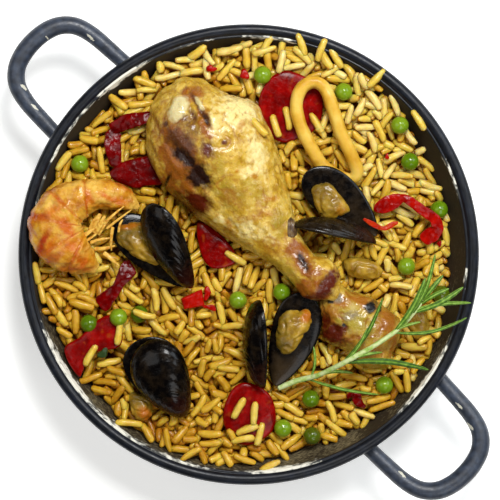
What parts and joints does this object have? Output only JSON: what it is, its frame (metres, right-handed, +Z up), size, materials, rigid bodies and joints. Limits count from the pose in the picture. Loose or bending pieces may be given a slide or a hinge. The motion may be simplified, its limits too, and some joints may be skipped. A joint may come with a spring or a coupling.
{
  "type": "paella in its pan",
  "caption": "Round two-handled enamelled steel pan of saffron rice topped with chicken, mussels, prawn, squid, sausage slices, red pepper, peas and a rosemary sprig.",
  "frame": {"origin": "centre of the pan's flat underside", "axes": "+Z up; +X and +Y are the right and the far side as seen from above, with one handle at 135.5 degrees from +X and the other at 314.3"},
  "size_m": [0.2212, 0.2218, 0.0609],
  "materials": {
    "enamel": "gloss blue-black enamel, worn at the inner lip",
    "rice": "moist saffron-yellow cooked rice",
    "chicken": "roast chicken skin, oily",
    "prawn": "cooked prawn flesh, moist",
    "shell": "wet black mussel shell",
    "meat": "cooked mussel flesh, moist",
    "onion": "soft translucent cooked onion",
    "squid": "cooked squid, moist",
    "chorizo": "cut sausage, oily",
    "pepper": "soft roast pepper, oily",
    "pea": "cooked pea skin",
    "herb": "fresh rosemary"
  },
  "bodies": {
    "root": {"pan": "enamel", "handle_far": "enamel", "handle_near": "enamel", "rice": "rice", "drumstick": "chicken", "chicken_thigh": "chicken", "prawn": "prawn", "squid_ring": "squid", "mussel_left_valve_lower": "shell", "mussel_left_valve_upper": "shell", "mussel_right_valve_lower": "shell", "mussel_right_valve_upper": "shell", "mussel_front_valve_lower": "shell", "mussel_front_valve_upper": "shell", "mussel_near_valve_lower": "shell", "mussel_near_valve_upper": "shell", "mussel_left_meat": "meat", "mussel_right_meat": "meat", "mussel_front_meat": "meat", "mussel_near_meat": "meat", "loose_mussel_meat": "meat", "ringed_mussel_meat": "meat", "onion_tip": "onion", "rosemary_sprig": "herb", "pea_01": "pea", "pea_02": "pea", "pea_03": "pea", "pea_04": "pea", "pea_05": "pea", "pea_06": "pea", "pea_07": "pea", "pea_08": "pea", "pea_09": "pea", "pea_10": "pea", "pea_11": "pea", "pea_12": "pea", "pea_13": "pea", "pea_14": "pea", "pea_15": "pea", "pea_16": "pea", "pea_17": "pea", "pepper_strip_far": "pepper", "pepper_strip_side": "pepper", "pepper_strip_left": "pepper", "pepper_curl_right": "pepper", "pepper_sliver": "pepper", "pepper_shred_near": "pepper", "pepper_under_drumstick": "pepper", "pepper_cube": "pepper", "chorizo_centre": "chorizo", "chorizo_left": "chorizo", "chorizo_top": "chorizo", "chorizo_front": "chorizo"}
  },
  "joints": []
}
